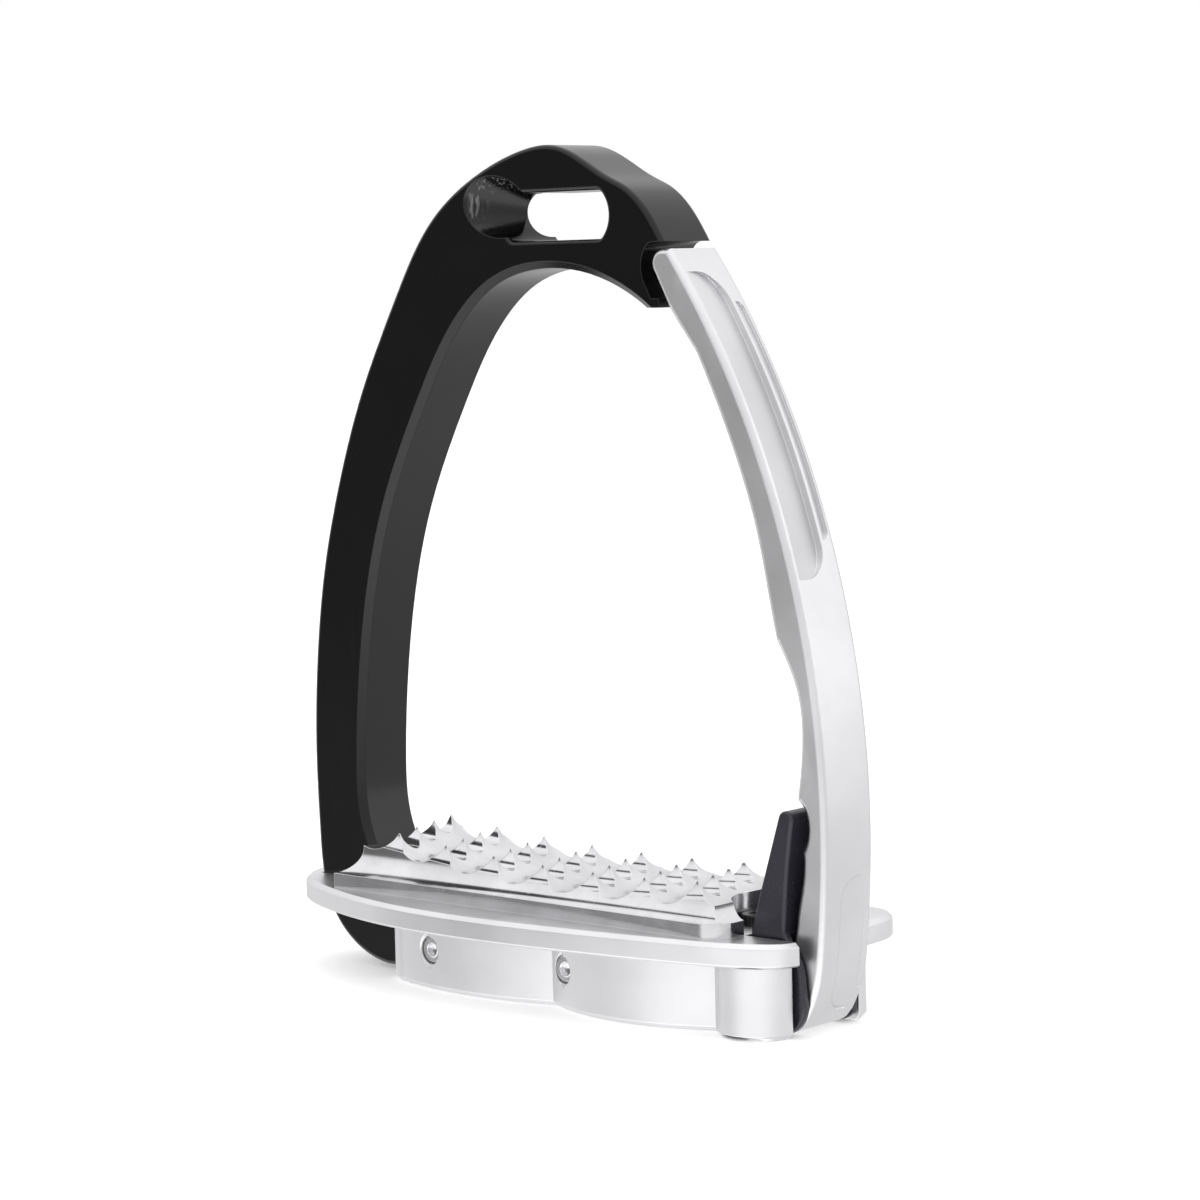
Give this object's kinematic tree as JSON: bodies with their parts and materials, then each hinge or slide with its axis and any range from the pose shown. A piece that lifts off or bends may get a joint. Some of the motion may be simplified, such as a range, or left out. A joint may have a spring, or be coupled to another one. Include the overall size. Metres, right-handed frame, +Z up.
{
  "type": "stirrup iron",
  "caption": "Quick-release safety stirrup: black arch with a strap slot, silver hinged release arm, spiked metal tread on a footbed platform, and a sprung release lever in the base.",
  "frame": {"origin": "on the flat underside of the base, in the middle plane of the arch, under the middle of the crown", "axes": "+X across the stirrup from the fixed branch to the release arm, -Y the front face, +Z up"},
  "size_m": [0.1449, 0.0564, 0.1728],
  "materials": {
    "black_satin": "black anodised aluminium, satin",
    "silver_satin": "satin clear anodised",
    "silver_platform": "bead-blasted and anodised",
    "silver_housing": "bead-blasted and anodised",
    "bright_steel": "milled and tumbled bright",
    "cover_plate": "satin",
    "black_lever": "black anodised aluminium",
    "black_screw": "black oxide",
    "screw_steel": "bright stainless",
    "pin_steel": "ground",
    "spring_steel": "drawn wire",
    "bush_polymer": "matt bearing polymer",
    "pad_rubber": "matt"
  },
  "bodies": {
    "frame": {"frame_arch": "black_satin", "footbed_platform": "silver_platform", "grip_insert": "bright_steel", "base_housing": "silver_housing", "base_cover": "cover_plate", "side_screws": "screw_steel", "housing_screws": "screw_steel", "grip_screws": "screw_steel", "cover_screws": "screw_steel", "tread_screw": "black_screw", "locating_pins": "pin_steel", "hinge_pin": "pin_steel", "lever_spring": "spring_steel", "arm_spring": "spring_steel", "detent_spring": "spring_steel", "lever_stop_pad": "pad_rubber"},
    "arm": {"release_arm": "silver_satin", "arm_bush_front": "bush_polymer", "arm_bush_rear": "bush_polymer"},
    "lever": {"release_lever": "black_lever"},
    "detent": {"detent_plunger": "pin_steel"}
  },
  "joints": [
    {"name": "arm_hinge", "type": "hinge", "parent": "frame", "child": "arm", "pos_m": [0.0555, 0, 0.0063], "axis": [0, 1, 0], "range_deg": [0, 75], "stiffness_Nm_per_rad": 0.03, "springref_deg": -11.46},
    {"name": "lever_pivot", "type": "hinge", "parent": "frame", "child": "lever", "pos_m": [0.0555, 0, 0.0063], "axis": [0, 1, 0], "range_deg": [0, 2.5], "stiffness_Nm_per_rad": 0.2, "springref_deg": -2.86},
    {"name": "detent_slide", "type": "slide", "parent": "frame", "child": "detent", "axis": [-1, 0, 0], "range_m": [0, 0.0005], "stiffness_N_per_m": 500, "springref_m": -0.001}
  ]
}
